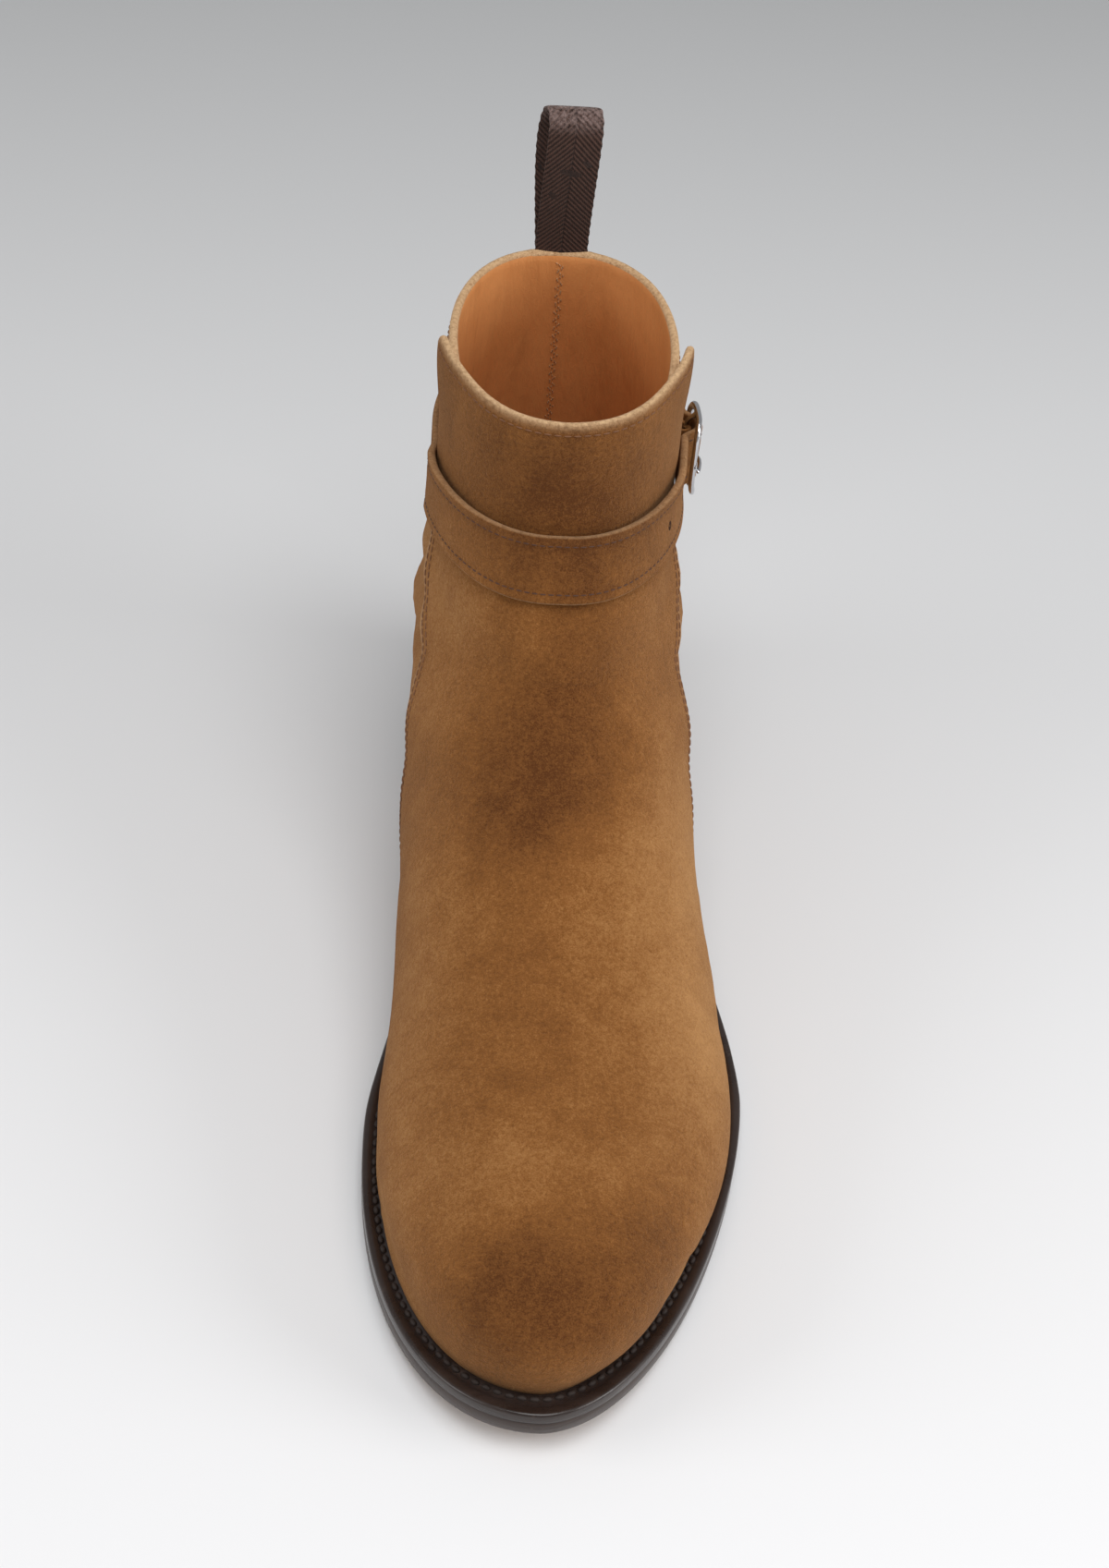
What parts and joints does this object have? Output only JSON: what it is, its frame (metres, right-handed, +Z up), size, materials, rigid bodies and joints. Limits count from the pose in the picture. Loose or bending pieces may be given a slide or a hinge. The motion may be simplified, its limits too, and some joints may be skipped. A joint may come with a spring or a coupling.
{
  "type": "jodhpur boot",
  "caption": "Suede jodhpur boot for the left foot, with an ankle strap and side buckle, a pull loop at the back, a welted leather sole and a stacked heel.",
  "frame": {"origin": "middle of the heel's resting face, on the floor", "axes": "+Z up, the toe points towards -Y, +X is the outer (lateral) side of the left foot"},
  "size_m": [0.1057, 0.3055, 0.2129],
  "materials": {
    "suede": "brushed suede, matt, with a short nap",
    "lining_leather": "smooth vegetable-tanned leather, satin",
    "sole_leather": "dark edge dressing, burnished to a low gloss",
    "heel_rubber": "matt rubber",
    "steel": "polished steel",
    "tape": "herringbone cotton tape"
  },
  "bodies": {
    "root": {"outsole": "sole_leather", "welt": "sole_leather", "heel_rand": "sole_leather", "insole": "lining_leather", "top_piece": "heel_rubber", "heel_lift_1": "sole_leather", "heel_lift_2": "sole_leather", "heel_lift_3": "sole_leather", "upper": "suede", "front_flap": "suede", "strap": "suede", "buckle_tab": "suede", "keeper": "suede", "buckle_frame": "steel", "buckle_prong": "steel", "pull_loop": "tape"}
  },
  "joints": []
}
